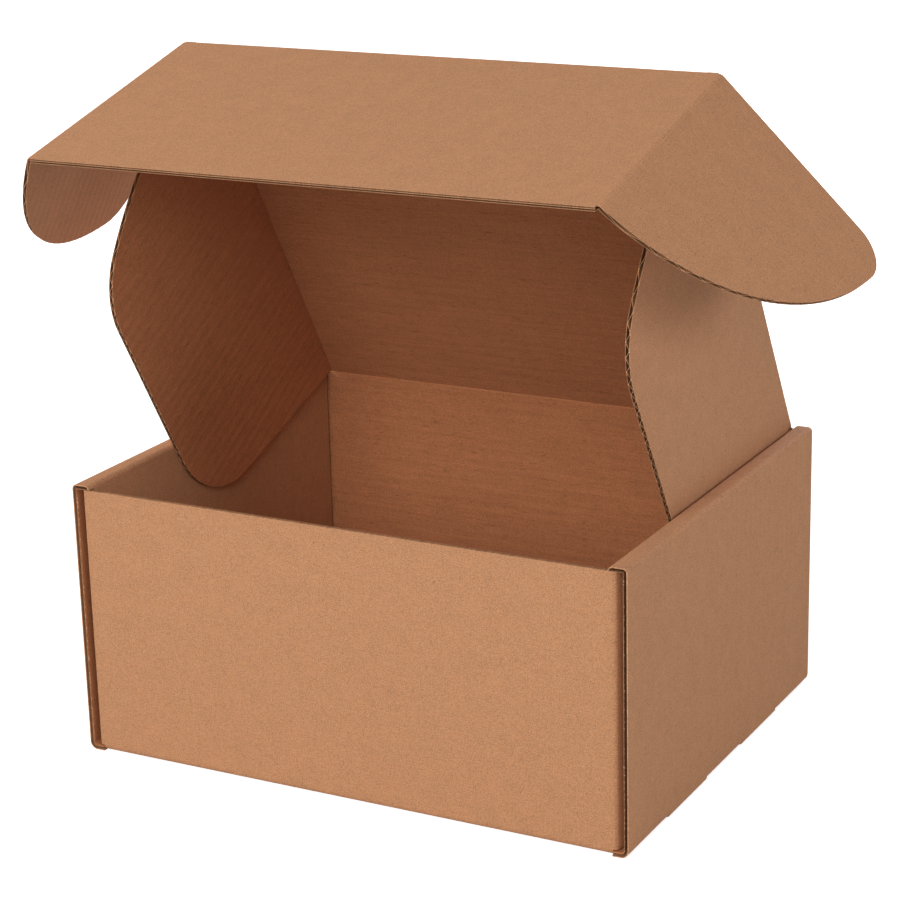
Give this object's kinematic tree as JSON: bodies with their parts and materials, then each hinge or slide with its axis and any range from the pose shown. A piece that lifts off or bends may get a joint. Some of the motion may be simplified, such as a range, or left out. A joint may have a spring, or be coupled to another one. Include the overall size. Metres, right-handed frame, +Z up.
{
  "type": "corrugated mailer box",
  "caption": "Folded corrugated mailer box with a hinged lid, tuck ears and dust flaps, standing open; plain brown kraft board.",
  "frame": {"origin": "middle of the underside of the tray", "axes": "+X to the right seen from the front, -Y towards the front wall, +Z up"},
  "size_m": [0.4345, 0.2594, 0.3497],
  "materials": {
    "kraft_board": "matte"
  },
  "bodies": {
    "tray": {"tray": "kraft_board"},
    "lid": {"lid_panel": "kraft_board"},
    "front_flap": {"front_flap": "kraft_board"},
    "left_ear": {"left_ear": "kraft_board"},
    "right_ear": {"right_ear": "kraft_board"},
    "left_dust_flap": {"left_dust_flap": "kraft_board"},
    "right_dust_flap": {"right_dust_flap": "kraft_board"}
  },
  "joints": [
    {"name": "lid_hinge", "type": "hinge", "parent": "tray", "child": "lid", "pos_m": [0, 0.11705, 0.144], "axis": [-1, 0, 0], "range_deg": [-53, 120]},
    {"name": "front_flap_fold", "type": "hinge", "parent": "lid", "child": "front_flap", "pos_m": [0, -0.00201, 0.34857], "axis": [1, 0, 0], "range_deg": [-74.5, 15.5]},
    {"name": "left_ear_fold", "type": "hinge", "parent": "front_flap", "child": "left_ear", "pos_m": [-0.1488, -0.00201, 0.34857], "axis": [0, -0.9673, -0.2538], "range_deg": [-58, 32]},
    {"name": "right_ear_fold", "type": "hinge", "parent": "front_flap", "child": "right_ear", "pos_m": [0.1488, -0.00201, 0.34857], "axis": [0, 0.9673, 0.2538], "range_deg": [-50, 40]},
    {"name": "left_dust_flap_fold", "type": "hinge", "parent": "lid", "child": "left_dust_flap", "pos_m": [-0.1395, 0.1158, 0.14327], "axis": [0, -0.503, 0.8643], "range_deg": [0, 75]},
    {"name": "right_dust_flap_fold", "type": "hinge", "parent": "lid", "child": "right_dust_flap", "pos_m": [0.1395, 0.1158, 0.14327], "axis": [0, 0.503, -0.8643], "range_deg": [0, 75]}
  ]
}
